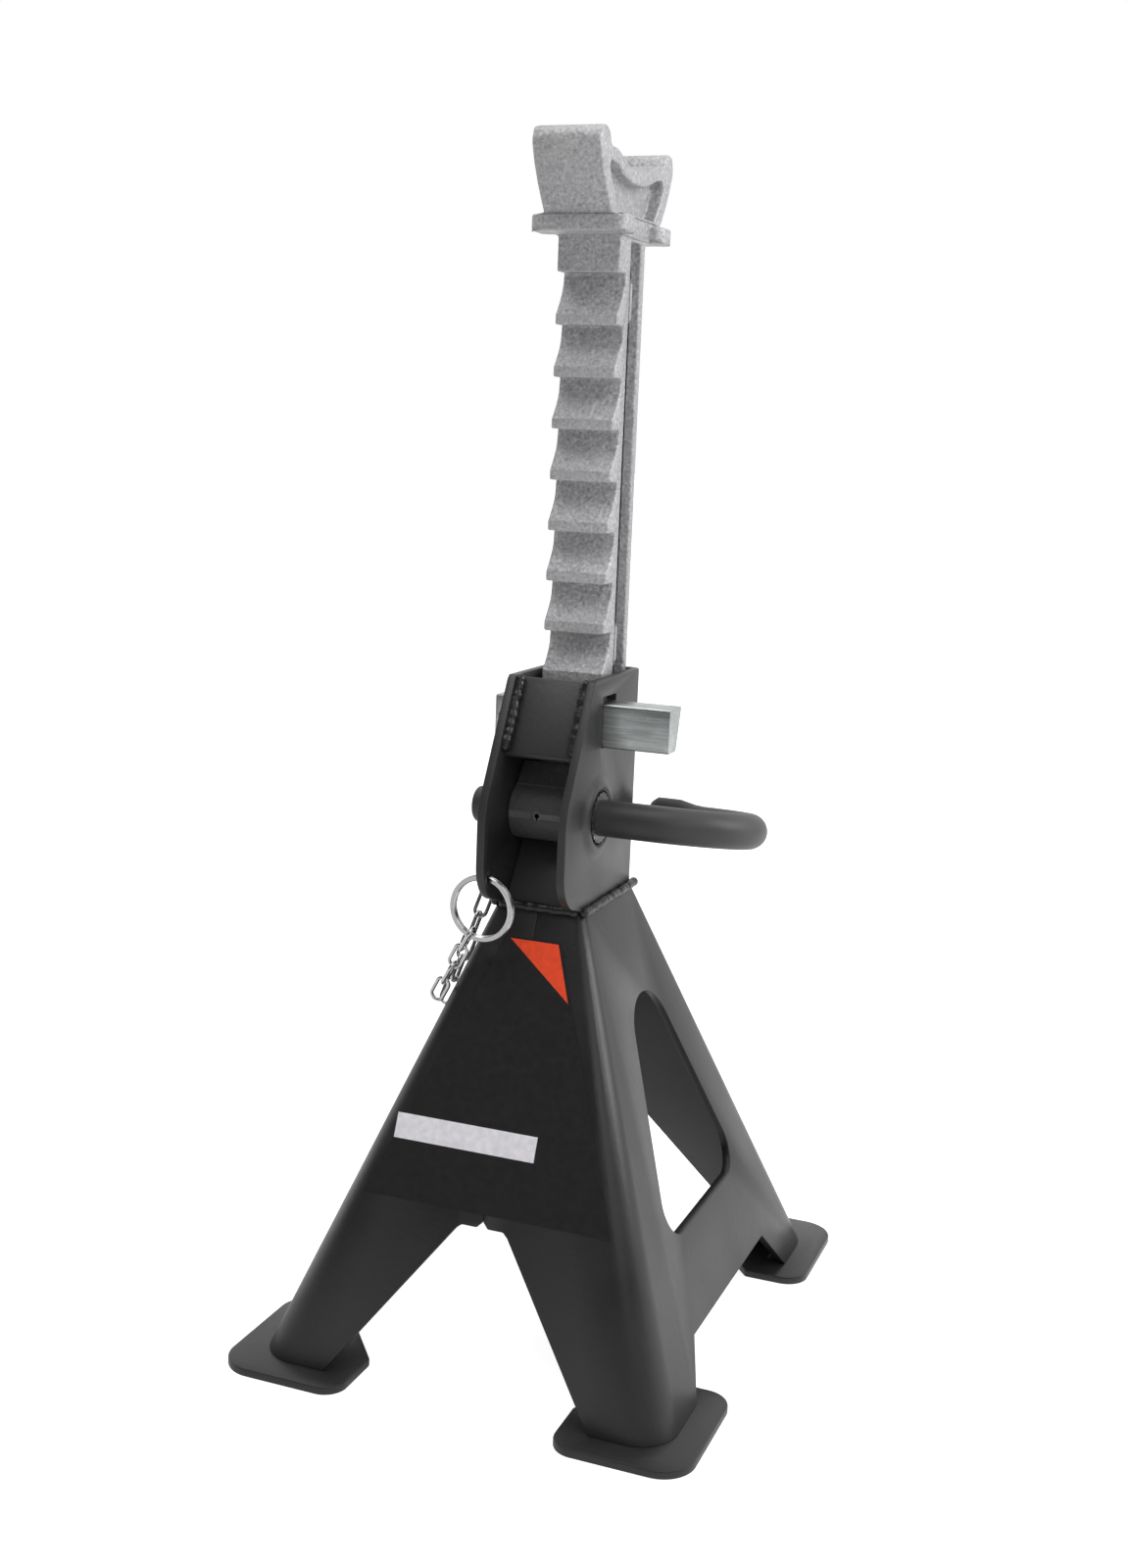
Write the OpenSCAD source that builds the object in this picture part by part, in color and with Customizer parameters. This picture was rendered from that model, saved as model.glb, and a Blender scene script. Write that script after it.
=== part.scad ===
// Ratcheting axle jack stand: four-legged sheet-steel base, welded neck,
// cast ratchet column with a saddle, handle-and-pawl catch and a chained safety bar.
// Millimetres. +X runs along the handle shaft towards the handle, -Y is the front,
// +Z is up. The origin is on the floor in the middle of the base.

/* [Base] */
// Width of the base sheet at its foot, left to right
base_w = 149.2; // [120:0.2:180]
// Depth of the base sheet at its foot, front to back
base_d = 183.8; // [150:0.2:222]
// Height of the rim the neck stands on
base_h = 157; // [130:1:190]
// Depth of the rim, front to back
rim_d = 52; // [50:0.5:60]
// Thickness of the base sheet, measured level
sheet_t = 3.2; // [2.6:0.1:4]
// Thickness of the foot plates
pad_t = 3; // [2.4:0.1:4]
// How far the foot plates stand out past the sheet
pad_out = 9.6; // [6:0.2:12]
// Corner radius of the base sheet at its foot
bend_r = 14; // [11:0.5:17]

/* [Neck] */
// Height of the neck above the rim
neck_h = 80; // [76:0.5:96]
// Thickness of the neck plate
cheek_t = 3; // [2.4:0.1:3.8]
// Sideways room each side of the column
side_gap = 1.8; // [1.2:0.1:2.4]
// Sliding room behind the column
slide_gap = 0.25; // [0.15:0.05:0.4]

/* [Column] */
// Width of the toothed column
column_w = 22.6; // [19:0.2:27]
// Depth of the toothed column, front to back
column_d = 25.5; // [21.5:0.5:30.5]
// Spacing of the teeth
tooth_pitch = 17.3; // [16.5:0.1:20.6]
// Depth of the teeth
tooth_depth = 6.6; // [5.6:0.1:7.8]
// Height of the trough's lowest line above the collar's underside
saddle_h = 21.8; // [20:0.2:26]
// Width of the saddle, left to right
saddle_w = 24; // [22.6:0.2:28]
// Reach of the saddle, front to back
saddle_d = 73.6; // [64:0.2:88]

/* [Handle] */
// Diameter of the handle bar
rod_d = 12.7; // [10.6:0.1:15]
// Running room round the handle shaft, per side
run_gap = 0.1; // [0.05:0.01:0.12]
// Radius of the handle's bend, to the middle of the bar
loop_r = 27.5; // [25:0.5:33]
// Straight reach of the handle before the bend
reach_x = 34.7; // [30:0.1:42]
// Droop of the handle's return leg, degrees
droop = 10.3; // [6:0.1:14]

/* [Safety bar] */
// Length of the safety bar
bar_len = 64; // [56:1:76]
// Height of the safety bar
bar_h = 15.2; // [12.8:0.1:16]
// Thickness of the safety bar at its top edge
bar_t = 12.2; // [10.2:0.1:13]
// Room round the safety bar in its slots
slot_gap = 0.3; // [0.2:0.05:0.5]

/* [Ring and chain] */
// Outside diameter of the split rings
ring_d = 23.6; // [20:0.2:26]
// Wire diameter of the chain
chain_wire = 1.4; // [1.2:0.1:1.5]

/* [Hidden] */

ARC = 64;
FINE = 40;

col_y = 6;
col_front = col_y - column_d / 2;
col_back = col_y + column_d / 2;
root_y = col_front + tooth_depth;

neck_in = column_w / 2 + side_gap;
neck_out = neck_in + cheek_t;
neck_back = col_back + slide_gap + cheek_t;
neck_top = base_h + neck_h;
cheek_front = -48.4;
cheek_top_front = -26;
cheek_knee = 37;
cheek_r = 14;

weld_land = 0.3;
rim_hw = neck_out + weld_land;
rim_back = neck_back + weld_land;
rim_front = rim_back - rim_d;
rim_mid = (rim_back + rim_front) / 2;
foot_hw = base_w / 2;
foot_hd = base_d / 2;
rise = base_h - pad_t;
side_k = (foot_hw - rim_hw) / rise;
face_k = (foot_hd + rim_front) / rise;
back_k = (foot_hd - rim_back) / rise;

ledges = 11;
bar_steps = 2;
shaft_y = col_front - 12.25;
shaft_z = base_h + 32.3;
last_ledge = shaft_z + 9.7;
top_ledge = last_ledge + (ledges - 1) * tooth_pitch;
column_foot = last_ledge - 3 * tooth_pitch;
collar_z = top_ledge + 12;
band_h = 0.2 * tooth_pitch;
lip_h = 1;
collar_t = 5.4;
block_t = 6.5;
lip_hw = saddle_w / 2 + 5;
saddle_hd = saddle_d / 2;
web_hw = 7.5;
flange_front = 4.6;
flange_back = 3.9;
stem_hw = 4;

rod_r = rod_d / 2;
hub_r = rod_r + 3.65;
hub_hw = neck_in - 0.3;
hole_r = rod_r + run_gap;
shaft_left = -(neck_out + 12.7);
washer_r = rod_r + 2.5;
boss_in = washer_r + 0.6;
boss_out = boss_in + 3.4;
boss_t = 1.6;
pin_x = -2.4;
pin_r = 1.7;
pin_hole = 0.9;

bar_back = col_front + 1.95;
bar_front = bar_back - bar_t;
bar_taper = 4;
bar_top = last_ledge + bar_steps * tooth_pitch - 5.2;
bar_foot = bar_top - bar_h;
bar_left = -(neck_out + 7.9);
bar_hole_x = bar_left + 3.9;
bar_hole_r = 2.6;
bar_eye_z = bar_top - 7.2;
bar_mid_y = bar_front + bar_t / 2 - bar_taper / 4;
slot_top_room = 2.4;

ring_wire = 2;
ring_r = ring_d / 2 - ring_wire / 2;
ring_y = -42.5;
ring_eye_x = -(neck_out - cheek_t / 2);
ring_eye_z = base_h + 12.8;
ring_off = -1.1;
ring_hole_r = 2.6;
ring_sag = 0.9;
link_len = 8 * chain_wire;
link_w = 4.2 * chain_wire;
link_pitch = link_len - 2 * chain_wire - 0.1;

film_t = 0.2;
label_top = base_h - 9.8;
label_foot = base_h - 97;

// rounded rectangle centred on the origin, made from exact arcs
module slab2d(w, d, r) {
    union() {
        square([w - 2 * r, d], center = true);
        square([w, d - 2 * r], center = true);
        for (sx = [-1, 1], sy = [-1, 1])
            translate([sx * (w / 2 - r), sy * (d / 2 - r)])
                circle(r = r, $fn = ARC);
    }
}

// a profile drawn in Y and Z, spread sideways from x0 to x1
module across(x0, x1) {
    multmatrix([[0, 0, 1, x0], [1, 0, 0, 0], [0, 1, 0, 0], [0, 0, 0, 1]])
        linear_extrude(height = x1 - x0)
            children();
}

// a profile drawn in X and Z, spread front to back from y0 to y1
module along(y0, y1) {
    multmatrix([[1, 0, 0, 0], [0, 0, 1, y0], [0, 1, 0, 0], [0, 0, 0, 1]])
        linear_extrude(height = y1 - y0)
            children();
}

// ---------- base ----------

// four-sided taper from the foot to the rim, drawn in by inset all round; the
// extrusion shrinks about the origin, so the outline is set off to lead the rim back
module base_cone(inset) {
    kx = (rim_hw - inset) / (foot_hw - inset);
    ky = (rim_d / 2 - inset) / (foot_hd - inset);
    lead = rim_mid / (ky - 1);
    translate([0, -lead, pad_t])
        linear_extrude(height = rise, scale = [kx, ky], slices = 1)
            translate([0, lead])
                hull()
                    for (sx = [-1, 1], sy = [-1, 1])
                        translate([sx * (foot_hw - bend_r), sy * (foot_hd - bend_r)])
                            circle(r = bend_r - inset, $fn = FINE);
}

leg_x = 48 / 74.6 * foot_hw;
leg_y = 58.2 / 91.9 * foot_hd;
gate_x = 9.4;
gate_z = 0.342 * rise;
nick = 2;
side_gate_y = 43.6 / 91.9 * foot_hd;
side_gate_z = 0.108 * rise;

module front_gate() {
    along(-foot_hd - 5, foot_hd + 5)
        polygon([[-leg_x, pad_t - 1], [-leg_x, pad_t], [-gate_x, pad_t + gate_z - 1.5],
                 [-gate_x + 1.8, pad_t + gate_z], [-nick, pad_t + gate_z], [0, pad_t + gate_z + nick],
                 [nick, pad_t + gate_z], [gate_x - 1.8, pad_t + gate_z],
                 [gate_x, pad_t + gate_z - 1.5], [leg_x, pad_t], [leg_x, pad_t - 1]]);
}

module side_gate() {
    across(-foot_hw - 5, foot_hw + 5)
        polygon([[-leg_y, pad_t - 1], [-leg_y, pad_t], [-side_gate_y, pad_t + side_gate_z],
                 [side_gate_y, pad_t + side_gate_z], [leg_y, pad_t], [leg_y, pad_t - 1]]);
}

window_top = pad_t + 0.78 * rise;
window_foot = pad_t + 0.295 * rise;

module window() {
    top_r = 18;
    low_r = 10;
    low_hd = 37.4 / 91.9 * foot_hd;
    across(-foot_hw - 5, foot_hw + 5)
        hull() {
            translate([0, window_top - top_r])
                circle(r = top_r, $fn = ARC);
            for (s = [-1, 1])
                translate([s * (low_hd - low_r), window_foot + low_r])
                    circle(r = low_r, $fn = FINE);
        }
}

module base_shell() {
    difference() {
        base_cone(0);
        base_cone(sheet_t);
        front_gate();
        side_gate();
        window();
    }
}

module half_space(side) {
    translate([side > 0 ? 0 : -base_w, -base_d, 0])
        cube([base_w, 2 * base_d, base_h + 1]);
}

module base_half_left() {
    color("#262425")
        intersection() {
            base_shell();
            half_space(-1);
        }
}

module base_half_right() {
    color("#262425")
        intersection() {
            base_shell();
            half_space(1);
        }
}

// half-round bead up the inside of a seam; the sloping wall is its flat side
module seam_bead(side) {
    z0 = pad_t + gate_z + 6;
    z1 = base_h - 6;
    k = side > 0 ? back_k : face_k;
    y0 = foot_hd - sheet_t - k * (z0 - pad_t);
    y1 = foot_hd - sheet_t - k * (z1 - pad_t);
    lean = atan2(y0 - y1, z1 - z0);
    run = norm([y0 - y1, z1 - z0]);
    intersection() {
        translate([0, side * y0, z0])
            rotate([side * lean, 0, 0])
                cylinder(r = 2.2, h = run, $fn = FINE);
        translate([0, side * y0, z0])
            rotate([side * lean, 0, 0])
                translate([-5, side > 0 ? -5 : 0, 0])
                    cube([10, 5, run]);
    }
}

module seam_weld_front() {
    color("#3a3637")
        seam_bead(-1);
}

module seam_weld_back() {
    color("#3a3637")
        seam_bead(1);
}

// foot plate for the +X +Y corner; the others are its mirror images
module foot_plate() {
    px = foot_hw + pad_out;
    py = foot_hd + pad_out;
    ix = leg_x - 10.4;
    iy = leg_y - 11.6;
    linear_extrude(height = pad_t)
        hull() {
            translate([px - 12, py - 12])
                circle(r = 12, $fn = ARC);
            translate([ix + 8, py - 8])
                circle(r = 8, $fn = FINE);
            translate([px - 9, iy + 9])
                circle(r = 9, $fn = FINE);
            translate([ix + 2, iy + 31])
                circle(r = 2, $fn = FINE);
            translate([ix + 25, iy + 2])
                circle(r = 2, $fn = FINE);
        }
}

module pad_front_left() {
    color("#242223")
        rotate([0, 0, 180])
            foot_plate();
}

module pad_front_right() {
    color("#242223")
        mirror([0, 1, 0])
            foot_plate();
}

module pad_back_left() {
    color("#242223")
        mirror([1, 0, 0])
            foot_plate();
}

module pad_back_right() {
    color("#242223")
        foot_plate();
}

// fillet welds inside the +X +Y leg, where its two walls meet the foot plate
module leg_weld(k) {
    bead = 3.4;
    wx = foot_hw - sheet_t;
    wy = foot_hd - sheet_t;
    along(leg_y + 2, foot_hd - bend_r - 1)
        polygon([[wx, pad_t], [wx - side_k * bead, pad_t + bead], [wx - bead - side_k * bead, pad_t]]);
    across(leg_x + 2, foot_hw - bend_r - 1)
        polygon([[wy, pad_t], [wy - k * bead, pad_t + bead], [wy - bead - k * bead, pad_t]]);
}

module pad_welds() {
    color("#3a3637")
        for (sx = [0, 1], sy = [0, 1])
            mirror([sx, 0, 0])
                mirror([0, sy, 0])
                    leg_weld(sy == 0 ? back_k : face_k);
}

// ---------- neck ----------

module neck_plan() {
    back_r = 4;
    depth = neck_back - cheek_front + 4;
    difference() {
        translate([0, neck_back - depth / 2])
            slab2d(2 * neck_out, depth, back_r);
        translate([-neck_in, neck_back - cheek_t - depth])
            square([2 * neck_in, depth]);
    }
}

cheek_low_z = base_h + cheek_r + 3;

module cheek_profile() {
    polygon(concat(
        [[neck_back, base_h], [neck_back, neck_top], [cheek_top_front + 1.2, neck_top],
         [cheek_top_front - 0.4, neck_top - 1.4], [cheek_front + 1.6, base_h + cheek_knee + 3],
         [cheek_front, base_h + cheek_knee - 4]],
        [for (a = [180 : 7.5 : 262.5])
            [cheek_front + cheek_r + cheek_r * cos(a), cheek_low_z + cheek_r * sin(a)]],
        [[rim_front + 2.6, base_h]]));
}

module boss_ring() {
    rotate_extrude($fn = ARC)
        polygon([[boss_in, 0], [boss_out + 2.6, 0], [boss_out + 1.2, 0.3], [boss_out, 0.9],
                 [boss_out - 1, boss_t - 0.15], [boss_out - 1.7, boss_t], [boss_in + 0.5, boss_t],
                 [boss_in, boss_t - 0.5]]);
}

module neck_channel() {
    color("#2a2829")
        difference() {
            union() {
                intersection() {
                    translate([0, 0, base_h])
                        linear_extrude(height = neck_h)
                            neck_plan();
                    across(-neck_out - 1, neck_out + 1)
                        cheek_profile();
                }
                for (s = [0, 1])
                    mirror([s, 0, 0])
                        translate([neck_out, shaft_y, shaft_z])
                            rotate([0, 90, 0])
                                boss_ring();
            }
            translate([-neck_out - 5, shaft_y, shaft_z])
                rotate([0, 90, 0])
                    cylinder(r = hole_r, h = 2 * neck_out + 10, $fn = ARC);
            translate([-neck_out - 5, bar_front - slot_gap, bar_foot - 0.05])
                cube([2 * neck_out + 10, bar_t + 2 * slot_gap, bar_h + slot_top_room]);
            translate([-neck_out - 1, ring_y, ring_eye_z])
                rotate([0, 90, 0])
                    cylinder(r = ring_hole_r, h = cheek_t + 2, $fn = ARC);
        }
}

plate_t = 3;
plate_top = [cheek_top_front + 3.4, neck_top - 0.6];
plate_foot = [cheek_front + 14.3, base_h + 55];

module front_plate() {
    run = plate_foot - plate_top;
    unit = run / norm(run);
    side = [-unit[1], unit[0]];
    mid = plate_foot + side * plate_t / 2;
    color("#2a2829")
        across(-neck_in, neck_in)
            union() {
                polygon([plate_top, plate_foot, plate_foot + side * plate_t, plate_top + side * plate_t]);
                translate(mid)
                    circle(r = plate_t / 2, $fn = ARC);
            }
}

guide_top = [shaft_y + 6.5, shaft_z - 9.3];
guide_foot = [rim_front + 1, base_h];

module guide_plate() {
    color("#2a2829")
        across(-neck_in, neck_in)
            polygon([guide_foot, guide_top, guide_top + [3.3, 0], guide_foot + [3.3, 0]]);
}

// quarter-round bead in the corner between a cheek and the front plate
module corner_bead(side) {
    run = plate_top - plate_foot;
    lean = atan2(run[0], run[1]);
    bead = 3;
    translate([side * neck_in, plate_foot[0], plate_foot[1]])
        rotate([-lean, 0, 0])
            translate([0, 0, 0.6])
                linear_extrude(height = norm(run) - 1.6)
                    intersection() {
                        circle(r = bead, $fn = FINE);
                        translate([side > 0 ? -bead : 0, -bead])
                            square([bead, bead]);
                    }
}

module plate_welds() {
    color("#3a3637") {
        corner_bead(-1);
        corner_bead(1);
    }
}

// outline of a bead between an upright plate's face and the sloping sheet under it
weld_drop = 2.9;
weld_rise = 3.6;

function foot_bead(face, edge, k) =
    [[face, base_h], [face, base_h + weld_rise], [face + 1.5, base_h + 2.9], [edge + 2.2, base_h + 0.6],
     [edge + 2.3, base_h - 1.6], [edge + k * weld_drop, base_h - weld_drop], [edge, base_h]];

// beads round the foot of the neck: two sides, front and back
module neck_welds() {
    color("#3a3637") {
        for (s = [0, 1])
            mirror([s, 0, 0])
                along(rim_front + 4.5, neck_back - 4.5)
                    polygon(foot_bead(neck_out, rim_hw, side_k));
        across(-neck_in + 0.2, neck_in - 0.2)
            mirror([1, 0])
                polygon(foot_bead(-guide_foot[0], -rim_front, face_k));
        across(-neck_in, neck_in)
            polygon(foot_bead(neck_back, rim_back, back_k));
    }
}

// ---------- column ----------

// one tooth gap, from its ledge down to the top of the next flat band
function tooth_points(z) =
    concat([[col_front, z], [root_y, z], [root_y, z - lip_h]],
           [for (i = [1 : 5])
               [root_y - tooth_depth * (1 - cos(90 * i / 5)),
                z - lip_h - (tooth_pitch - lip_h - band_h) * i / 5]]);

function all_teeth() =
    [for (k = [0 : ledges - 2])
        each tooth_points(top_ledge - k * tooth_pitch)];

module column_profile() {
    polygon(concat([[col_back, column_foot], [col_back, collar_z + 1], [col_front, collar_z + 1]],
                   all_teeth(),
                   [[col_front, last_ledge], [root_y, last_ledge], [root_y, column_foot]]));
}

pocket_front = root_y + flange_front;
pocket_back = col_back - flange_back;
pad_len = 13;

module flute() {
    pocket_top = collar_z - 1;
    for (s = [0, 1])
        mirror([s, 0, 0])
            difference() {
                translate([stem_hw, pocket_front, column_foot - 1])
                    cube([column_w, pocket_back - pocket_front, pocket_top - column_foot + 1]);
                for (z = [collar_z - 27, base_h + 83])
                    translate([stem_hw - 1, pocket_front - 1, z])
                        cube([column_w / 2 - stem_hw + 0.4, 5.2, pad_len]);
            }
}

// half of the saddle's outline, v outwards from the column's middle
function horn_side() =
    [[24.2, 0], [24.4, 5.4], [27, 8.6], [30.8, 13.8], [34.3, 19.7], [36.6, 25.2], [36.8, 27.4],
     [36, 29.8], [34.4, 31.3], [32.3, 31.8], [30.2, 31.4], [28.5, 30.1], [27.4, 27.9], [26.6, 26.7],
     [25.4, 26.3], [20.5, 26.3], [18, 25.6], [12.5, 23.5], [6.5, 22.1], [0, 21.8]];

// half of the side pocket under the trough
function pocket_side() =
    [[0, block_t + 0.4], [18.2, block_t + 0.4], [23.4, 13.2], [27.2, 19.2], [26.6, 21.2],
     [24.6, 21.9], [20, 21.3], [12.5, 18.6], [6.5, 17.5], [0, 17.2]];

vk = saddle_hd / 36.8;
zk = saddle_h / 21.8;

function spread(pts) = [for (p = pts) [col_y + p[0] * vk, collar_z + p[1] * zk]];
function folded(pts) =
    let (n = len(pts))
    [for (i = [n - 1 : -1 : 0]) [col_y - pts[i][0] * vk, collar_z + pts[i][1] * zk]];

module saddle_body() {
    hw = saddle_w / 2;
    difference() {
        across(-hw, hw)
            polygon(concat(spread(horn_side()), folded(horn_side())));
        for (s = [0, 1])
            mirror([s, 0, 0])
                across(web_hw, hw + 1)
                    polygon(concat(spread(pocket_side()), folded(pocket_side())));
    }
}

module collar() {
    lip_in = 13 * vk;
    lip_end = 25 * vk;
    mid = (lip_in + lip_end) / 2;
    for (s = [-1, 1])
        translate([0, col_y + s * mid, collar_z])
            linear_extrude(height = collar_t)
                slab2d(2 * lip_hw, lip_end - lip_in, 3.6);
    translate([-saddle_w / 2 - 0.4, col_y - mid, collar_z])
        cube([saddle_w + 0.8, 2 * mid, block_t]);
}

module ratchet_column() {
    color("#9c9a9e")
        union() {
            difference() {
                across(-column_w / 2, column_w / 2)
                    column_profile();
                flute();
            }
            saddle_body();
            collar();
        }
}

// ---------- handle and pawl ----------

paddle_x = 17.3;
paddle_end = reach_x + 6;
paddle_h = 16;
paddle_t = 7.4;

module handle_shape() {
    translate([shaft_left, 0, 0])
        rotate([0, 90, 0])
            cylinder(r = rod_r, h = reach_x - shaft_left, $fn = ARC);
    rotate([-droop, 0, 0]) {
        translate([reach_x, loop_r, 0])
            rotate([0, 0, -90])
                rotate_extrude(angle = 180, $fn = ARC)
                    translate([loop_r, 0])
                        circle(r = rod_r, $fn = ARC);
        translate([paddle_x + 9, 2 * loop_r, 0])
            rotate([0, 90, 0])
                cylinder(r = rod_r, h = reach_x - paddle_x - 9, $fn = ARC);
        translate([0, 2 * loop_r - paddle_t / 2, 0])
            along(0, paddle_t)
                translate([(paddle_x + paddle_end) / 2, 0])
                    slab2d(paddle_end - paddle_x, paddle_h, 5);
    }
}

module pin_space(r) {
    translate([pin_x, -hub_r - 5, 0])
        rotate([-90, 0, 0])
            cylinder(r = r, h = 2 * hub_r + 10, $fn = ARC);
}

module handle_bar() {
    color("#232122")
        translate([0, shaft_y, shaft_z])
            difference() {
                handle_shape();
                pin_space(pin_r);
            }
}

module pawl() {
    tip_r = 14.9;
    tip = [tip_r * cos(17), tip_r * sin(17)];
    color("#1f1d1d")
        translate([0, shaft_y, shaft_z])
            difference() {
                across(-hub_hw, hub_hw)
                    difference() {
                        union() {
                            circle(r = hub_r, $fn = ARC);
                            polygon([[3, -9], [10.2, -2.6], tip, [9.6, 8], [9.4, 15.8], [3, 16.8],
                                     [-3.2, 9]]);
                        }
                        circle(r = rod_r, $fn = ARC);
                    }
                pin_space(pin_r);
            }
}

module roll_pin() {
    reach = hub_r - 0.4;
    color("#55525a")
        translate([pin_x, shaft_y - reach, shaft_z])
            rotate([-90, 0, 0])
                difference() {
                    cylinder(r = pin_r, h = 2 * reach, $fn = ARC);
                    translate([0, 0, -1])
                        cylinder(r = pin_hole, h = 2 * reach + 2, $fn = ARC);
                    translate([-0.25, 0, -1])
                        cube([0.5, pin_r + 1, 2 * reach + 2]);
                }
}

// toothed push-on washer that keeps the shaft from walking sideways
module push_washer() {
    teeth = 20;
    linear_extrude(height = 1.2)
        difference() {
            circle(r = washer_r, $fn = ARC);
            circle(r = rod_r, $fn = ARC);
            for (i = [0 : teeth - 1])
                rotate([0, 0, i * 360 / teeth])
                    translate([washer_r - 0.7, -0.35])
                        square([2, 0.7]);
        }
}

module push_washers() {
    color("#4a4748")
        for (s = [0, 1])
            mirror([s, 0, 0])
                translate([neck_out + 0.3, shaft_y, shaft_z])
                    rotate([0, 90, 0])
                        push_washer();
}

// ---------- safety bar, rings and chain ----------

module safety_bar() {
    edge = 0.5;
    color("#aab0b2")
        difference() {
            across(bar_left, bar_left + bar_len)
                polygon([[bar_front, bar_foot + edge], [bar_front, bar_top - edge],
                         [bar_front + edge, bar_top], [bar_back - edge, bar_top],
                         [bar_back, bar_top - edge], [bar_back - bar_taper, bar_foot + edge],
                         [bar_back - bar_taper - edge, bar_foot], [bar_front + edge, bar_foot]]);
            translate([bar_hole_x, bar_front - 5, bar_eye_z])
                rotate([-90, 0, 0])
                    cylinder(r = bar_hole_r, h = bar_t + 10, $fn = ARC);
        }
}

// two flat coils lying together, with a groove between them
module split_ring() {
    u = ring_wire / 2;
    v = 1.1;
    rotate_extrude($fn = ARC)
        translate([ring_r, 0])
            polygon([[0.3 - u, -v], [u - 0.3, -v], [u, 0.3 - v], [u, -0.2], [u - 0.2, 0], [u, 0.2],
                     [u, v - 0.3], [u - 0.3, v], [0.3 - u, v], [-u, v - 0.3], [-u, 0.2],
                     [0.2 - u, 0], [-u, -0.2], [-u, 0.3 - v]]);
}

bar_ring_z = bar_eye_z - ring_r + 0.7;

module bar_ring() {
    color("#c9cdd0")
        translate([bar_hole_x, bar_mid_y, bar_ring_z])
            rotate([0, 90, 0])
                split_ring();
}

// hangs on the bottom of its hole
neck_ring_at = [ring_eye_x + ring_off, ring_y,
                ring_eye_z - ring_sag - sqrt(ring_r * ring_r - ring_off * ring_off)];

module neck_ring() {
    color("#c9cdd0")
        translate(neck_ring_at)
            rotate([90, 0, 0])
                split_ring();
}

// one chain link lying in X and Z, long way up
module link() {
    half = link_len / 2 - link_w / 2;
    bend = (link_w - chain_wire) / 2;
    for (s = [-1, 1])
        translate([s * bend, 0, -half])
            cylinder(r = chain_wire / 2, h = 2 * half, $fn = 20);
    for (s = [0, 1])
        rotate([0, 180 * s, 0])
            translate([0, 0, half])
                rotate([90, 0, 0])
                    rotate_extrude(angle = 180, $fn = 20)
                        translate([bend, 0])
                            circle(r = chain_wire / 2, $fn = 20);
}

// links strung from one point towards another, each turned a quarter from the last;
// turn 0 sets the first link's flat across Y, 90 sets it across X
module strand(from, to, count, turn) {
    d = to - from;
    lean = atan2(norm([d[0], d[1]]), -d[2]);
    way = atan2(d[1], d[0]);
    unit = d / norm(d);
    for (i = [0 : count - 1])
        translate(from + unit * link_pitch * i)
            rotate([0, 0, way])
                rotate([0, -lean, 0])
                    rotate([0, 0, turn - way + 90 * (i % 2)])
                        link();
}

// where the end link hooks round a ring: lean is its angle from the ring's bottom
hook_gap = 1.25;
grip = ring_r - ring_wire / 2 - hook_gap + link_len / 2 - chain_wire;
bar_lean = 26;
neck_lean = 24;
hang_from = [bar_hole_x, bar_mid_y + sin(bar_lean) * grip, bar_ring_z - cos(bar_lean) * grip];
pass_at = [-neck_out - 6.2, hang_from[1] + 0.6, base_h + 14];
wall_gap = link_w / 2 + 2;
pool_at = [-rim_hw - side_k * 36 - wall_gap, hang_from[1] - 19, base_h - 36];

// two straight runs: past the end of the handle shaft, then forward down the base
module bar_chain() {
    first = floor(norm(pass_at - hang_from) / link_pitch);
    unit = (pass_at - hang_from) / norm(pass_at - hang_from);
    joint = hang_from + unit * link_pitch * first;
    second = floor(norm(pool_at - joint) / link_pitch) + 1;
    color("#b9bdc0") {
        strand(hang_from, pass_at, first, 0);
        strand(joint, pool_at, second, first % 2 == 0 ? 0 : 90);
    }
}

module neck_chain() {
    from = neck_ring_at + [-sin(neck_lean) * grip, 0, -cos(neck_lean) * grip];
    to = [-rim_hw - side_k * 38 - wall_gap, ring_y + 6.5, base_h - 36];
    count = floor(norm(to - from) / link_pitch) + 1;
    color("#b9bdc0")
        strand(from, to, count, 90);
}

// ---------- label ----------

// places a flat drawing (x sideways, y height above the floor) on the front face
module on_front() {
    s = sqrt(1 + face_k * face_k);
    multmatrix([[1, 0, 0, 0],
                [0, face_k, -1 / s, -foot_hd - face_k * pad_t],
                [0, 1, face_k / s, 0],
                [0, 0, 0, 1]])
        linear_extrude(height = film_t)
            children();
}

module panel_outline() {
    polygon([[-10.3, label_top], [10.3, label_top], [45.4, label_foot], [-45.4, label_foot]]);
}

module triangle_outline() {
    polygon([[-8.2, label_top - 0.6], [9.6, label_top - 0.6], [16.6, label_top - 18.6]]);
}

module strip_outline() {
    translate([-37.8, label_top - 68.9])
        square([52, 8]);
}

module label_panel() {
    color("#1b191a")
        on_front()
            difference() {
                panel_outline();
                triangle_outline();
                strip_outline();
            }
}

module label_triangle() {
    color("#e8432a")
        on_front()
            triangle_outline();
}

module label_strip() {
    color("#eeedf2")
        on_front()
            strip_outline();
}

base_half_left();
base_half_right();
seam_weld_front();
seam_weld_back();
pad_front_left();
pad_front_right();
pad_back_left();
pad_back_right();
pad_welds();
neck_channel();
front_plate();
guide_plate();
plate_welds();
neck_welds();
ratchet_column();
handle_bar();
pawl();
roll_pin();
push_washers();
safety_bar();
bar_ring();
bar_chain();
neck_ring();
neck_chain();
label_panel();
label_triangle();
label_strip();
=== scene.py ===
# %% [markdown]
# # An axle jack stand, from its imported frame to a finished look
# The stand is already built and measured elsewhere. Here it gets its surfaces: powder-coated
# sheet, a sand-cast column, zinc plate, welds, a bent handle and a small chain. Every length
# is in metres and the stand's own frame is kept: +X to the handle, -Y to the front, +Z up.

from math import cos, pi, radians, sin
from random import Random

import bpy
from mathutils import Matrix, Vector


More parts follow.
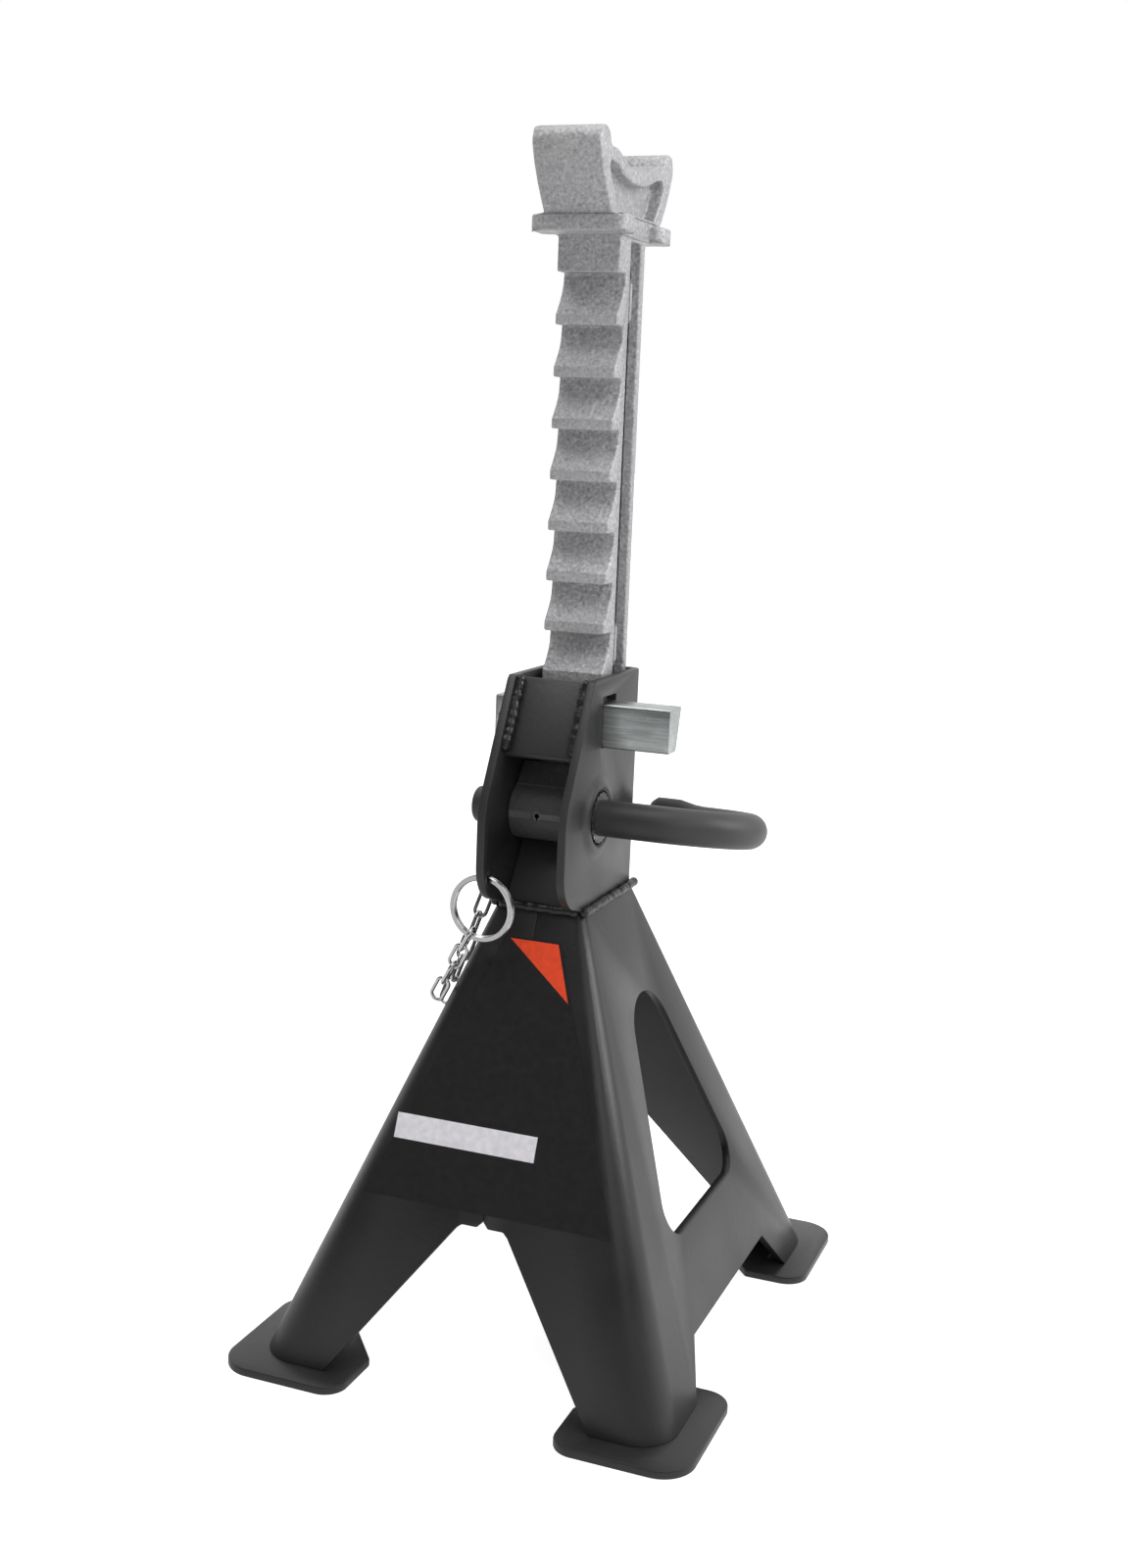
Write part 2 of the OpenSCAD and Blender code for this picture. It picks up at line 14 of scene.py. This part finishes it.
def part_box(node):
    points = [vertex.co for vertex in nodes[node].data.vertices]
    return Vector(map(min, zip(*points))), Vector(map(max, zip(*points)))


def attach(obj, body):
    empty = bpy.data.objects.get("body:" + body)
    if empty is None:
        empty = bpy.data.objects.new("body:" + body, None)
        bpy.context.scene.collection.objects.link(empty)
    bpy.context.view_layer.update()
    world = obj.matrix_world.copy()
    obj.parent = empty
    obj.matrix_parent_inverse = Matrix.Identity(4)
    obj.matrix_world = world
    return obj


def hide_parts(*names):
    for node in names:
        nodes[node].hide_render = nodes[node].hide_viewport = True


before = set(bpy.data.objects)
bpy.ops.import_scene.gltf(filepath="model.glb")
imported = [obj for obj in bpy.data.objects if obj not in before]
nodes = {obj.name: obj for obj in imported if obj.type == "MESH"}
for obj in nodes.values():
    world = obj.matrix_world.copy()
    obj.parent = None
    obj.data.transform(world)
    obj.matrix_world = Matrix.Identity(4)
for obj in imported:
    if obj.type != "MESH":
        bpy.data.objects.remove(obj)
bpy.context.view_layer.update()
MM = 0.001

# %% [markdown]
# ## Camera
# The camera stands close, a little right of the front and a little above the saddle's middle,
# and leans by two degrees. Placing it by azimuth, elevation and distance from a target keeps
# each of those three things a single number that can be read and changed.

# %% Camera
AZIMUTH = radians(20.9)
ELEVATION = radians(10.87)
LEAN = radians(2.29)
TARGET = Vector((-0.0033, -0.0013, 0.196))
DISTANCE = 0.649

back = Vector((sin(AZIMUTH) * cos(ELEVATION), -cos(AZIMUTH) * cos(ELEVATION), sin(ELEVATION)))
side = Vector((0, 0, 1)).cross(back).normalized()
up = back.cross(side)
side_l = side * cos(LEAN) + up * sin(LEAN)
up_l = up * cos(LEAN) - side * sin(LEAN)
camera = bpy.data.objects.new("camera", bpy.data.cameras.new("camera"))
camera.matrix_world = Matrix(
    (
        (side_l.x, up_l.x, back.x, TARGET.x + back.x * DISTANCE),
        (side_l.y, up_l.y, back.y, TARGET.y + back.y * DISTANCE),
        (side_l.z, up_l.z, back.z, TARGET.z + back.z * DISTANCE),
        (0, 0, 0, 1),
    )
)
camera.data.lens = 41.81
camera.data.sensor_width = 36
camera.data.clip_start = 0.01
bpy.context.scene.collection.objects.link(camera)
bpy.context.scene.camera = camera
print("camera at", [round(v, 3) for v in camera.location])

# %% [markdown]
# ## Light
# Satin black paint is read almost wholly by what it mirrors, so the room matters more than the
# lamps. What is mirrored is white behind the stand, as the backdrop is, and dim behind the
# camera: side faces catch the bright part and the front stays deep. Matt surfaces are lit by an
# even grey sky instead, so that their colours come out about as they are written. Three wide
# lamps add the soft top light, the key from the right, and a little light into the neck.

# %% World and lamps
ROOM_FRONT = 0.08
ROOM_BACK = 1.0
SKY = 0.4
world = bpy.data.worlds.new("studio")
bpy.context.scene.world = world
world.use_nodes = True
wn, wl = world.node_tree.nodes, world.node_tree.links
wn.clear()


def backdrop_ramp(tree_nodes, tree_links, coordinate, start, end, low, high):
    """A smooth rise along Y, from dim in front to bright behind."""
    split = tree_nodes.new("ShaderNodeSeparateXYZ")
    rise = tree_nodes.new("ShaderNodeMapRange")
    rise.interpolation_type = "SMOOTHSTEP"
    rise.inputs["From Min"].default_value = start
    rise.inputs["From Max"].default_value = end
    rise.inputs["To Min"].default_value = low
    rise.inputs["To Max"].default_value = high
    tree_links.new(coordinate, split.inputs[0])
    tree_links.new(split.outputs["Y"], rise.inputs["Value"])
    return rise.outputs[0]


def world_layer(below, chosen, ray):
    mixer = wn.new("ShaderNodeMixShader")
    wl.new(ray, mixer.inputs[0])
    wl.new(below, mixer.inputs[1])
    wl.new(chosen, mixer.inputs[2])
    return mixer.outputs[0]


def sky_of(strength):
    shade_of = wn.new("ShaderNodeBackground")
    shade_of.inputs["Color"].default_value = (1, 1, 1, 1)
    if isinstance(strength, float):
        shade_of.inputs["Strength"].default_value = strength
    else:
        wl.new(strength, shade_of.inputs["Strength"])
    return shade_of.outputs[0]


rays = wn.new("ShaderNodeLightPath")
w_coord = wn.new("ShaderNodeTexCoord").outputs["Generated"]
mirrored = sky_of(backdrop_ramp(wn, wl, w_coord, -0.4, 0.4, ROOM_FRONT, ROOM_BACK))
lit = world_layer(sky_of(SKY), mirrored, rays.outputs["Is Glossy Ray"])
lit = world_layer(lit, sky_of(1.0), rays.outputs["Is Camera Ray"])
wl.new(lit, wn.new("ShaderNodeOutputWorld").inputs[0])


def softbox(name, place, aim, size, power):
    lamp = bpy.data.lights.new(name, "AREA")
    lamp.shape = "DISK"
    lamp.size = size
    lamp.energy = power
    obj = bpy.data.objects.new(name, lamp)
    obj.location = place
    obj.rotation_euler = (Vector(aim) - Vector(place)).to_track_quat("-Z", "Y").to_euler()
    bpy.context.scene.collection.objects.link(obj)
    return obj


softbox("key", (1.3, 0.25, 0.95), (0, 0, 0.2), 1.0, 11)
softbox("top", (-0.2, -0.35, 1.5), (0, 0, 0.25), 1.1, 6)
softbox("fill", (0.9, -1.1, 1.0), (0, 0, 0.2), 1.1, 3.5)
bpy.context.scene.view_settings.view_transform = "Standard"
print("lamps: 3")

# %% [markdown]
# ## Floor
# A floor that is seen as white still has to carry the stand's shadow. Its diffuse part takes
# the shadow, and a glow that the camera and mirrored rays see lifts it to white where nothing
# shades it. In mirrors the glow fades towards the front, where the real room is dim.

# %% Floor
bpy.ops.mesh.primitive_plane_add(size=30, location=(0, 0, 0))
floor = bpy.context.object
floor.name = "floor"
floor_mat = bpy.data.materials.new("floor_white")
floor_mat.use_nodes = True
fn, fl = floor_mat.node_tree.nodes, floor_mat.node_tree.links
floor_skin = fn["Principled BSDF"]
floor_skin.inputs["Base Color"].default_value = (0.82, 0.82, 0.82, 1)
floor_skin.inputs["Roughness"].default_value = 0.7
floor_skin.inputs["Emission Color"].default_value = (1, 1, 1, 1)
FLOOR_SEEN = 0.85
FLOOR_MIRRORED = 0.55
floor_path = fn.new("ShaderNodeLightPath")
floor_place = fn.new("ShaderNodeTexCoord").outputs["Object"]
floor_rise = backdrop_ramp(fn, fl, floor_place, -0.25, 0.15, 0.0, 1.0)


def floor_math(kind, a, b):
    node = fn.new("ShaderNodeMath")
    node.operation = kind
    for socket, value in zip(node.inputs, (a, b)):
        if isinstance(value, float):
            socket.default_value = value
        else:
            fl.new(value, socket)
    return node.outputs[0]


mirrored_back = floor_math("MULTIPLY", floor_path.outputs["Is Glossy Ray"], floor_rise)
mirror_glow = floor_math("MULTIPLY", mirrored_back, FLOOR_MIRRORED)
seen_glow = floor_math("MULTIPLY", floor_path.outputs["Is Camera Ray"], FLOOR_SEEN)
fl.new(floor_math("ADD", seen_glow, mirror_glow), floor_skin.inputs["Emission Strength"])
floor.data.materials.append(floor_mat)
print("floor laid")

# %% [markdown]
# ## Finishes
# Each finish is one material built from nodes that read Object coordinates, so a grain keeps
# its real size in metres on every piece. A few small helpers make a noise, a colour ramp and a
# chain of bumps; the finishes then read like recipes.


# %% Material helpers
class Finish:
    """One Principled material and the few nodes that feed it."""

    def __init__(self, name, metallic=0.0, specular=0.5):
        self.mat = bpy.data.materials.new(name)
        self.mat.use_nodes = True
        self.nodes = self.mat.node_tree.nodes
        self.links = self.mat.node_tree.links
        self.skin = self.nodes["Principled BSDF"]
        self.skin.inputs["Metallic"].default_value = metallic
        self.skin.inputs["Specular IOR Level"].default_value = specular
        self.coord = self.nodes.new("ShaderNodeTexCoord").outputs["Object"]
        self.last_bump = None

    def stretched(self, scale):
        node = self.nodes.new("ShaderNodeMapping")
        node.inputs["Scale"].default_value = scale
        self.links.new(self.coord, node.inputs[0])
        return node.outputs[0]

    def noise(self, scale, detail=3.0, rough=0.5, vector=None):
        node = self.nodes.new("ShaderNodeTexNoise")
        node.inputs["Scale"].default_value = scale
        node.inputs["Detail"].default_value = detail
        node.inputs["Roughness"].default_value = rough
        self.links.new(vector or self.coord, node.inputs["Vector"])
        return node.outputs["Fac"]

    def cells(self, scale, smooth=0.6):
        node = self.nodes.new("ShaderNodeTexVoronoi")
        node.feature = "SMOOTH_F1"
        node.inputs["Scale"].default_value = scale
        node.inputs["Smoothness"].default_value = smooth
        self.links.new(self.coord, node.inputs["Vector"])
        return node.outputs["Distance"]

    def ramp(self, value, stops):
        node = self.nodes.new("ShaderNodeValToRGB")
        band = node.color_ramp.elements
        while len(band) < len(stops):
            band.new(0.5)
        for element, (at, colour) in zip(band, stops):
            element.position = at
            element.color = (*colour, 1) if len(colour) == 3 else colour
        self.links.new(value, node.inputs[0])
        return node.outputs["Color"]

    def spread(self, value, low, high, from_low=0.3, from_high=0.7):
        node = self.nodes.new("ShaderNodeMapRange")
        node.inputs["From Min"].default_value = from_low
        node.inputs["From Max"].default_value = from_high
        node.inputs["To Min"].default_value = low
        node.inputs["To Max"].default_value = high
        self.links.new(value, node.inputs["Value"])
        return node.outputs[0]

    def mix(self, amount, a, b):
        node = self.nodes.new("ShaderNodeMix")
        node.data_type = "RGBA"
        self.links.new(amount, node.inputs["Factor"])
        for source, socket in ((a, node.inputs["A"]), (b, node.inputs["B"])):
            if isinstance(source, tuple):
                socket.default_value = (*source, 1)
            else:
                self.links.new(source, socket)
        return node.outputs["Result"]

    def edges(self, low=0.52, high=0.6):
        geometry = self.nodes.new("ShaderNodeNewGeometry")
        return self.spread(geometry.outputs["Pointiness"], 0.0, 1.0, low, high)

    def bump(self, height, depth, strength=1.0):
        node = self.nodes.new("ShaderNodeBump")
        node.inputs["Distance"].default_value = depth
        node.inputs["Strength"].default_value = strength
        self.links.new(height, node.inputs["Height"])
        if self.last_bump:
            self.links.new(self.last_bump, node.inputs["Normal"])
        self.last_bump = node.outputs[0]

    def wear(self, colour=None, roughness=None):
        if colour is not None:
            self.links.new(colour, self.skin.inputs["Base Color"])
        if roughness is not None:
            self.links.new(roughness, self.skin.inputs["Roughness"])
        if self.last_bump:
            self.links.new(self.last_bump, self.skin.inputs["Normal"])
        return self.mat


print("finish helpers ready")

# %% [markdown]
# ### Satin black powder coat
# Powder coat is a baked plastic skin: nearly black, half glossy, with a fine orange peel a
# millimetre or two across. Slow noise varies its gloss the way real coats vary in the oven.
# Sharp edges are painted paler: a painted highlight where the edges catch the light.


# %% Black coats
def black_coat(name, tone, gloss, peel, spots=0.0):
    f = Finish(name, specular=0.5)
    slow = f.noise(35, 3)
    fine = f.noise(900, 2)
    dark = tuple(tone * 0.75 * c for c in (1.0, 0.94, 0.96))
    pale = tuple(tone * 1.35 * c for c in (1.0, 0.95, 0.97))
    body = f.ramp(slow, [(0.3, dark), (0.7, pale)])
    # Sharp edges, found by pointiness, are painted 2.6 times paler: a painted highlight.
    edge_highlight_and_speckles = f.mix(f.edges(), body, tuple(tone * 2.6 * c for c in (1, 0.97, 0.97)))
    if spots:
        # Pale speckles: a fine noise lifted to light grey over part of the coat.
        pale_speckles = f.ramp(f.noise(2600, 1), [(0.68, (0, 0, 0)), (0.76, (spots, spots, spots))])
        edge_highlight_and_speckles = f.mix(pale_speckles, edge_highlight_and_speckles, (0.16, 0.155, 0.15))
    f.bump(f.noise(520, 2), peel)
    f.bump(fine, peel * 0.4)
    return f.wear(edge_highlight_and_speckles, f.spread(slow, gloss - 0.05, gloss + 0.06))


SHEET_BLACK = black_coat("powder_coated_sheet", 0.013, 0.36, 0.00005)
NECK_BLACK = black_coat("powder_coated_plate", 0.022, 0.40, 0.00006)
WELD_BLACK = black_coat("powder_coated_weld", 0.016, 0.32, 0.00010)
BAR_BLACK = black_coat("painted_round_bar", 0.045, 0.46, 0.00003)
CAST_BLACK = black_coat("black_casting", 0.05, 0.5, 0.00035, spots=0.6)
print("black coats: 5")

# %% [markdown]
# ### Silver paint over a sand casting
# The mould's sand leaves a pebbled skin with grains of half a millimetre to two millimetres.
# Thin silver paint follows it. Two noises and a cell pattern at different sizes give the bumps.
# The finest noise also sets the colour, darkest in its pits and palest on its crests: painted
# shade in the pits and a painted highlight on the crests. Sharp edges are painted paler still.


# %% Silver casting
def silver_casting():
    f = Finish("silver_painted_casting", metallic=0.35, specular=0.4)
    grain = f.noise(900, 4, 0.65)
    lumps = f.noise(240, 3, 0.55)
    pits = f.cells(560)
    stops = [
        (0.30, (0.24, 0.24, 0.25)),
        (0.42, (0.43, 0.425, 0.44)),
        (0.56, (0.56, 0.555, 0.57)),
        (0.70, (0.76, 0.755, 0.77)),
    ]
    # Colour from the finest grain, darkest in the bump's pits and palest on its crests: painted
    # shade and painted highlight.
    skin = f.ramp(grain, stops)
    soot = f.spread(f.noise(48, 4), 0.0, 0.35)
    shaded = f.mix(soot, skin, (0.34, 0.335, 0.345))
    # Sharp edges, found by pointiness, are painted near white: a painted highlight.
    bright = f.mix(f.edges(0.53, 0.64), shaded, (0.78, 0.775, 0.78))
    f.bump(lumps, 0.0007)
    f.bump(pits, 0.00035)
    f.bump(grain, 0.00028)
    return f.wear(bright, f.spread(grain, 0.40, 0.58))


SILVER_CAST = silver_casting()
print("silver casting ready")

# %% [markdown]
# ### Zinc plate, bright wire and blackened spring steel
# Zinc plate is metal, so its colour lives in its reflections: slightly blue, streaked along
# the bar by the drawing die, with faint cloudy patches. The rings and links are the same metal
# drawn finer and polished brighter. Pins and washers are darker and rougher.


# %% Metals
def zinc_plate():
    f = Finish("zinc_plated_bar", metallic=1.0)
    streaks = f.noise(1.0, 4, 0.6, f.stretched((60, 1900, 1900)))
    cloud = f.noise(140, 3)
    base = f.ramp(streaks, [(0.3, (0.30, 0.32, 0.32)), (0.7, (0.62, 0.645, 0.64))])
    dull = f.mix(f.spread(cloud, 0, 0.45), base, (0.36, 0.385, 0.38))
    f.bump(streaks, 0.00004)
    f.bump(cloud, 0.00006)
    return f.wear(dull, f.spread(cloud, 0.22, 0.42))


def drawn_metal(name, tone, rough, grain):
    f = Finish(name, metallic=1.0)
    fine = f.noise(grain, 3)
    slow = f.noise(300, 2)
    dark = (tone * 0.72,) * 3
    light = (tone, tone * 1.005, tone * 1.01)
    body = f.ramp(fine, [(0.25, dark), (0.75, light)])
    f.bump(fine, 0.00002)
    return f.wear(body, f.spread(slow, rough * 0.7, rough * 1.3))


ZINC = zinc_plate()
WIRE = drawn_metal("bright_plated_wire", 0.78, 0.2, 2600)
DARK_STEEL = drawn_metal("blackened_spring_steel", 0.2, 0.42, 1800)
print("metals: 3")

# %% [markdown]
# ### Printed film
# The front label is thin film: three flat inks with a soft sheen. Film is never quite even, so
# each ink has a faint mottle, and a slow ripple where it follows the sheet under it.


# %% Label inks
def ink(name, colour, rough):
    f = Finish(name, specular=0.35)
    mottle = f.noise(420, 3)
    deep = tuple(c * 0.9 for c in colour)
    light = tuple(min(1.0, c * 1.07 + 0.001) for c in colour)
    body = f.ramp(mottle, [(0.3, deep), (0.7, light)])
    f.bump(f.noise(60, 2), 0.00006)
    f.bump(f.noise(1500, 2), 0.00001)
    return f.wear(body, f.spread(mottle, rough - 0.05, rough + 0.05))


INK_BLACK = ink("film_black", (0.016, 0.0145, 0.0155), 0.5)
INK_ORANGE = ink("film_orange", (0.92, 0.075, 0.02), 0.5)
INK_WHITE = ink("film_white", (0.84, 0.82, 0.86), 0.5)
print("inks: 3")

# %% [markdown]
# ## Softened edges
# A knife-sharp edge gives a drawing away. Sheared sheet, castings and bars all have a small
# round that catches the light. Each plain solid is copied, its loose triangles are merged, and
# a Bevel modifier rounds only the edges that turn sharply. The casting has pocketed faces that
# can't be one polygon each, so its faces are kept as triangles and it takes a wider round.


# %% Soften a solid
def only(obj):
    if bpy.context.object and bpy.context.object.mode != "OBJECT":
        bpy.ops.object.mode_set(mode="OBJECT")
    bpy.ops.object.select_all(action="DESELECT")
    obj.select_set(True)
    bpy.context.view_layer.objects.active = obj


def shade(obj, angle=32):
    only(obj)
    bpy.ops.object.shade_smooth_by_angle(angle=radians(angle))


def apply_all(obj):
    only(obj)
    for m in list(obj.modifiers):
        bpy.ops.object.modifier_apply(modifier=m.name)


def finish_piece(obj, material, body, *stands_for, slot=None):
    obj.data.materials.clear()
    obj.data.materials.append(material)
    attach(obj, body)
    if stands_for:
        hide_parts(*stands_for)
    return obj


def merged_copy(node, name):
    obj = bpy.data.objects.new(name, nodes[node].data.copy())
    bpy.context.scene.collection.objects.link(obj)
    only(obj)
    if obj.data.has_custom_normals:
        bpy.ops.mesh.customdata_custom_splitnormals_clear()
    bpy.ops.object.mode_set(mode="EDIT")
    bpy.ops.mesh.select_all(action="SELECT")
    bpy.ops.mesh.remove_doubles(threshold=0.000002)
    bpy.ops.object.mode_set(mode="OBJECT")
    return obj


def softened(node, name, body, material, slot, width, segments=2, angle=30, cast=False):
    obj = merged_copy(node, name)
    bpy.ops.object.mode_set(mode="EDIT")
    bpy.ops.mesh.select_all(action="SELECT")
    bpy.ops.mesh.dissolve_limited(angle_limit=radians(0.8))
    if cast:
        bpy.ops.mesh.quads_convert_to_tris(quad_method="BEAUTY", ngon_method="BEAUTY")
    bpy.ops.object.mode_set(mode="OBJECT")
    bevel = obj.modifiers.new("round", "BEVEL")
    bevel.width = width
    bevel.segments = segments
    bevel.limit_method = "ANGLE"
    bevel.angle_limit = radians(angle)
    bevel.use_clamp_overlap = not cast
    apply_all(obj)
    shade(obj)
    return finish_piece(obj, material, body, node, slot=slot)


softened("base_half_left", "base_left", "stand", SHEET_BLACK, "satin_black", 0.0005)
softened("base_half_right", "base_right", "stand", SHEET_BLACK, "satin_black", 0.0005)
for corner in ("front_left", "front_right", "back_left", "back_right"):
    softened("pad_" + corner, "foot_" + corner, "stand", SHEET_BLACK, "satin_black", 0.0005)
softened("neck_channel", "neck", "stand", NECK_BLACK, "satin_black", 0.0005)
softened("front_plate", "neck_front_plate", "stand", NECK_BLACK, "satin_black", 0.0005)
softened("guide_plate", "neck_guide_plate", "stand", NECK_BLACK, "satin_black", 0.0004)
softened("ratchet_column", "column", "column", SILVER_CAST, "silver_casting", 0.0008, 3, cast=True)
softened("pawl", "pawl_casting", "catch", CAST_BLACK, "black_casting", 0.0006, 3)
softened("safety_bar", "lock_bar", "bar", ZINC, "zinc_plate", 0.0004)

# %% [markdown]
# ## The bent handle
# The handle is one round bar, bent back on itself and pressed flat at its end. It could be a
# curve with a round section, but the flat end would need a second shape. Here a disc is
# extruded along the shaft, spun through the bend, and extruded again, and the last rings are
# pressed flat. It is made lying level and then tipped about the shaft. A positive spin angle
# turns clockwise about its axis, so the angle is negative here.

# %% Handle
shaft_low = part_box("handle_bar")[0]
BAR_RADIUS = 6.35 * MM
BEND = 27.5 * MM
BEND_START = 34.7 * MM
FLAT_END = 17.3 * MM
FLAT_TALL = 16 * MM
FLAT_THICK = 7.4 * MM
DROOP = radians(10.3)
SHAFT = Vector((0, -19 * MM, 189.3 * MM))
SHAFT_END = shaft_low[0]


def none_selected():
    if bpy.context.object and bpy.context.object.mode != "OBJECT":
        bpy.ops.object.mode_set(mode="OBJECT")
    bpy.ops.object.select_all(action="DESELECT")


def pick(obj, test):
    """In edit mode, select the vertices whose place passes the test, and what they span."""
    bpy.ops.mesh.select_all(action="DESELECT")
    bpy.ops.object.mode_set(mode="OBJECT")
    for v in obj.data.vertices:
        v.select = test(v.co)
    bpy.ops.object.mode_set(mode="EDIT")
    bpy.ops.mesh.select_mode(type="VERT")


none_selected()
bpy.ops.mesh.primitive_circle_add(
    vertices=40,
    radius=BAR_RADIUS,
    fill_type="NGON",
    location=(SHAFT_END, 0, 0),
    rotation=(0, pi / 2, 0),
)
handle = bpy.context.object
handle.name = "handle"
bpy.ops.object.transform_apply(location=True, rotation=True, scale=True)
bpy.ops.object.mode_set(mode="EDIT")
bpy.ops.mesh.select_all(action="SELECT")
bpy.ops.mesh.extrude_region_move(TRANSFORM_OT_translate={"value": (BEND_START - SHAFT_END, 0, 0)})
bpy.ops.mesh.spin(steps=28, angle=-pi, center=(BEND_START, BEND, 0), axis=(0, 0, 1))
FLAT_RINGS = 6
step = (FLAT_END - BEND_START) / FLAT_RINGS
for _ in range(FLAT_RINGS):
    bpy.ops.mesh.extrude_region_move(TRANSFORM_OT_translate={"value": (step, 0, 0)})
print("handle turns to y =", round(max(v.co.y for v in handle.data.vertices) / MM, 1), "mm")

# %% Press the end flat
PRESS_FIRST = 0.18
PRESS_PER_RING = 0.4
TIP_TALL = 0.72
TIP_THICK = 0.8
for ring in range(FLAT_RINGS + 1):
    at = BEND_START + (FLAT_END - BEND_START) * ring / FLAT_RINGS
    press = min(1.0, PRESS_FIRST + PRESS_PER_RING * ring)
    tall = 1 + (FLAT_TALL / (2 * BAR_RADIUS) - 1) * press
    thick = 1 + (FLAT_THICK / (2 * BAR_RADIUS) - 1) * press
    if ring == FLAT_RINGS:
        tall, thick = tall * TIP_TALL, thick * TIP_THICK
    pick(handle, lambda p: abs(p.x - at) < 0.3 * MM and p.y > BEND)
    bpy.ops.transform.resize(value=(1, thick, tall), center_override=(at, 2 * BEND, 0))
bpy.ops.mesh.select_all(action="SELECT")
bpy.ops.mesh.remove_doubles(threshold=0.00001)
bpy.ops.mesh.normals_make_consistent(inside=False)
none_selected()
handle.rotation_euler = (-DROOP, 0, 0)
handle.location = SHAFT
only(handle)
bpy.ops.object.transform_apply(location=True, rotation=True, scale=True)
rounding = handle.modifiers.new("round", "BEVEL")
rounding.width = 0.0011
rounding.segments = 3
rounding.limit_method = "ANGLE"
rounding.angle_limit = radians(50)
apply_all(handle)
shade(handle, 40)
finish_piece(handle, BAR_BLACK, "catch", "handle_bar", slot="handle_black")
print("handle box", [[round(c / MM, 1) for c in corner] for corner in handle.bound_box][::6])

# %% [markdown]
# ## Weld beads
# A hand-run bead is a row of overlapping puddles, each a little different. One puddle is made
# and copied along each seam with small seeded changes of size and place, then the row is
# fused by a voxel remesh and smoothed, which leaves the scalloped ripple of a real bead.


# %% Bead tool
def bead(name, runs, seed, node, slot="weld_black", voxel=0.00038):
    """Each run is start, end, radius across, and how far neighbouring puddles stand apart."""
    dice = Random(seed)
    none_selected()
    bpy.ops.mesh.primitive_uv_sphere_add(segments=14, ring_count=8, radius=1)
    puddle = bpy.context.object
    puddles = [puddle]
    for start, end, radius, pitch in runs:
        start, end = Vector(start), Vector(end)
        count = max(2, round((end - start).length / pitch))
        for i in range(count + 1):
            one = puddle.copy()
            one.data = puddle.data.copy()
            bpy.context.scene.collection.objects.link(one)
            wander = Vector([dice.uniform(-0.09, 0.09) * radius for _ in range(3)])
            one.location = start.lerp(end, i / count) + wander
            one.scale = [radius * dice.uniform(0.88, 1.1)] * 3
            puddles.append(one)
    none_selected()
    puddles.remove(puddle)
    bpy.data.objects.remove(puddle)
    for one in puddles:
        one.select_set(True)
    bpy.context.view_layer.objects.active = puddles[0]
    bpy.ops.object.join()
    row = bpy.context.object
    row.name = name
    bpy.ops.object.transform_apply(location=True, rotation=True, scale=True)
    fuse = row.modifiers.new("fuse", "REMESH")
    fuse.mode = "VOXEL"
    fuse.voxel_size = voxel
    soften = row.modifiers.new("soften", "SMOOTH")
    soften.factor = 0.5
    soften.iterations = 2
    apply_all(row)
    shade(row, 80)
    finish_piece(row, WELD_BLACK, "stand", node, slot=slot)
    print(name, "faces:", len(row.data.polygons))
    return row


# %% Beads of the neck
corner_low, corner_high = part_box("plate_welds")
seat_low, seat_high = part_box("neck_welds")
CORNER_R = 2.1 * MM
CORNER_PITCH = 1.5 * MM
corner_runs = []
for hand in (-1, 1):
    x = hand * (corner_high[0] - 0.9 * MM)
    top_of_run = (x, corner_high[1] - 1.2 * MM, corner_high[2] - 1.6 * MM)
    foot_of_run = (x, corner_low[1] + 1.6 * MM, corner_low[2] + 1.4 * MM)
    corner_runs.append((top_of_run, foot_of_run, CORNER_R, CORNER_PITCH))
bead("corner_beads", corner_runs, 11, "plate_welds")

seat_x = seat_high[0] - 2.0 * MM
seat_z = seat_high[2] - 3.0 * MM
seat_front = seat_low[1] + 3 * MM
seat_rear = seat_high[1] - 3 * MM
SEAT_HALF = 13 * MM
SEAT_R = 1.7 * MM
SEAT_PITCH = 1.4 * MM
seat_runs = []
for x in (-seat_x, seat_x):
    seat_runs.append(((x, seat_front, seat_z), (x, seat_rear, seat_z), SEAT_R, SEAT_PITCH))
for y in (seat_low[1] + 2.0 * MM, seat_high[1] - 2.0 * MM):
    seat_runs.append(((-SEAT_HALF, y, seat_z), (SEAT_HALF, y, seat_z), SEAT_R, SEAT_PITCH))
bead("seat_beads", seat_runs, 12, "neck_welds")

# %% [markdown]
# ## Finishes on the pieces that stay as they are
# Small pieces whose shape is already right keep it and only take their finish.

# %% Keep and paint
KEEP = {
    "seam_weld_front": WELD_BLACK,
    "seam_weld_back": WELD_BLACK,
    "pad_welds": WELD_BLACK,
    "roll_pin": DARK_STEEL,
    "push_washers": DARK_STEEL,
    "bar_ring": WIRE,
    "bar_chain": WIRE,
    "neck_ring": WIRE,
    "neck_chain": WIRE,
    "label_panel": INK_BLACK,
    "label_triangle": INK_ORANGE,
    "label_strip": INK_WHITE,
}
for node, material in KEEP.items():
    nodes[node].data.materials.clear()
    nodes[node].data.materials.append(material)
print("painted:", len(KEEP))
